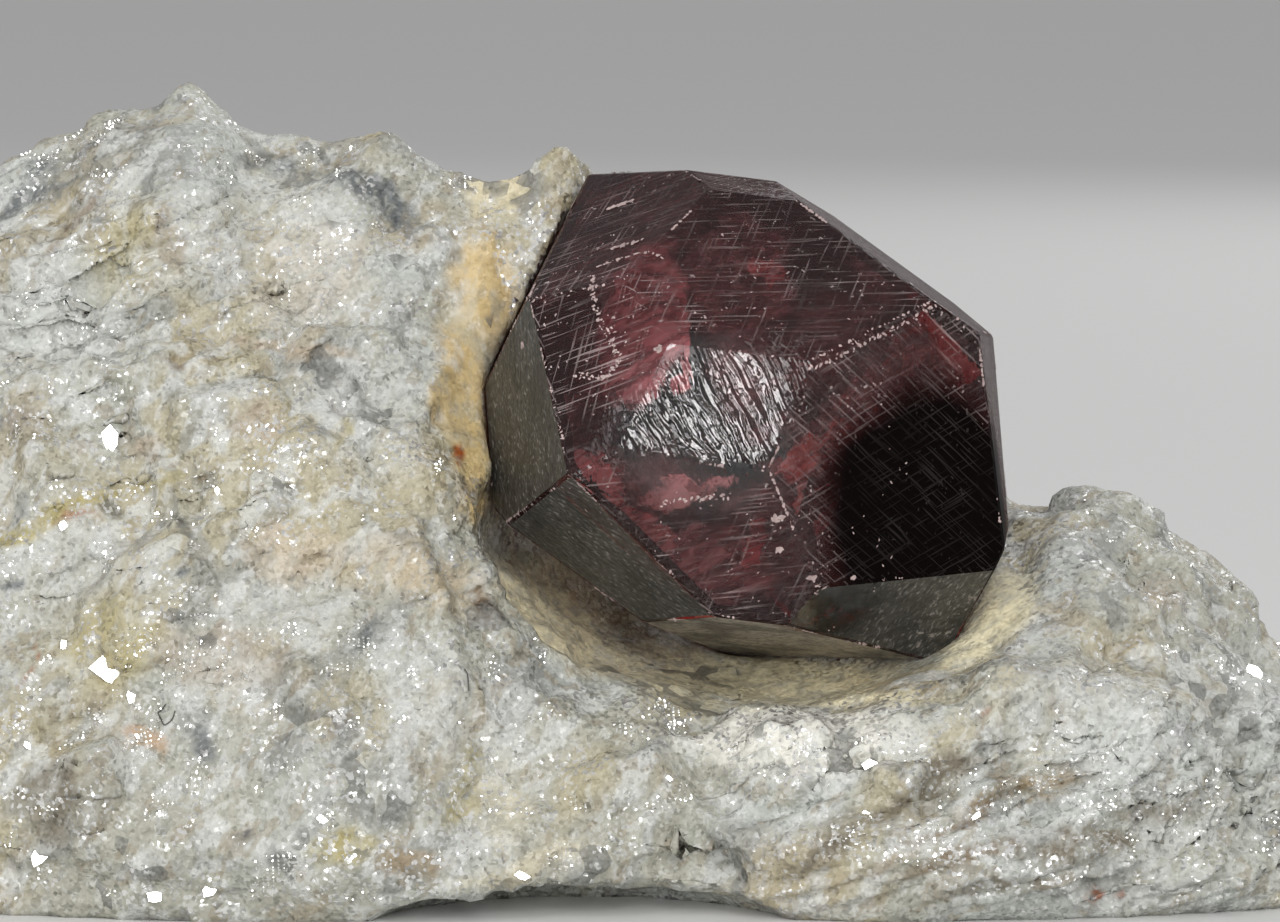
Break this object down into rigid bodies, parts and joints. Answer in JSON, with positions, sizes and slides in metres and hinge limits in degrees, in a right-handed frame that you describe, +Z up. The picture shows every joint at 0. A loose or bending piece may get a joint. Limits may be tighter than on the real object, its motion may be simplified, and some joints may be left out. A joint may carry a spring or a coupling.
{
  "type": "garnet in matrix",
  "caption": "Dark red garnet crystal with flat faces, half sunk in a broken piece of white quartz and mica rock that rests on a flat base.",
  "frame": {"origin": "on the flat underside of the rock, under the middle of the specimen", "axes": "+Z is up; +X runs along the rock, from its high end to its low end; the crystal shows best from -Y"},
  "size_m": [0.0317, 0.0174, 0.0157],
  "materials": {
    "rock": "sugary white quartz and mica rock with bright flakes, ochre stains and a broken surface",
    "crystal": "dark red see-through crystal, glossy above, grey and frosted on its lower faces"
  },
  "bodies": {
    "root": {"matrix": "rock", "garnet": "crystal"}
  },
  "joints": []
}
